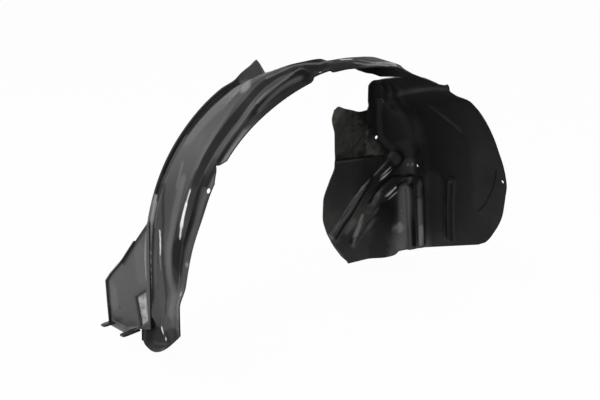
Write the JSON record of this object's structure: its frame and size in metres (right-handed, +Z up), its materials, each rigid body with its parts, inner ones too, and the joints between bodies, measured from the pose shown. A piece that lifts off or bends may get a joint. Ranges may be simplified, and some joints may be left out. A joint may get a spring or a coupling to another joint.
{
  "type": "wheel arch liner",
  "caption": "Formed plastic wheel arch liner: an arched band with a front leg, a small wing with prongs, and a deep rear housing with pressed ribs and a flap.",
  "frame": {"origin": "centre of the screw hole in the top tab of the outer flange", "axes": "+X along the car toward the rear housing, +Y from the outer lip inboard, +Z up"},
  "size_m": [0.7765, 0.3112, 0.5353],
  "materials": {
    "liner": "satin, with a soft sheen and fine scuffs"
  },
  "bodies": {
    "root": {"liner": "liner"}
  },
  "joints": []
}
